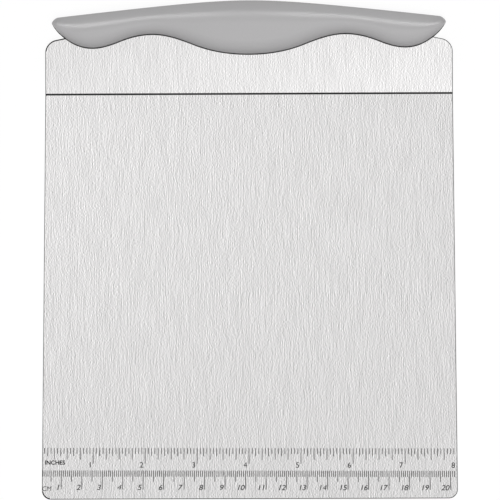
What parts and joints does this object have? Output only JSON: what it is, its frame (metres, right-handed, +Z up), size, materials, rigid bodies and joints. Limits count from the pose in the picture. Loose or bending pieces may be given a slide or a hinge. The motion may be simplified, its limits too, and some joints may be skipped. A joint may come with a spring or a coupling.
{
  "type": "cake lifter",
  "caption": "Square sheet-steel cake lifter: a flat blade with a scored crease, a raised rear flange and a wave-edged soft grip.",
  "frame": {"origin": "centre of the blade's underside, the face that slides on the worktop", "axes": "+X across the blade to the right as the user holds the grip, +Y from the front edge to the grip, +Z up out of the lifting face"},
  "size_m": [0.2032, 0.2488, 0.0167],
  "materials": {
    "blade_steel": "brushed front to back, ruler etched dark",
    "core_plastic": "rigid moulded core, hidden in the grip",
    "grip_rubber": "soft-touch satin grey"
  },
  "bodies": {
    "root": {"blade": "blade_steel", "handle_core": "core_plastic", "grip_skin": "grip_rubber"}
  },
  "joints": []
}
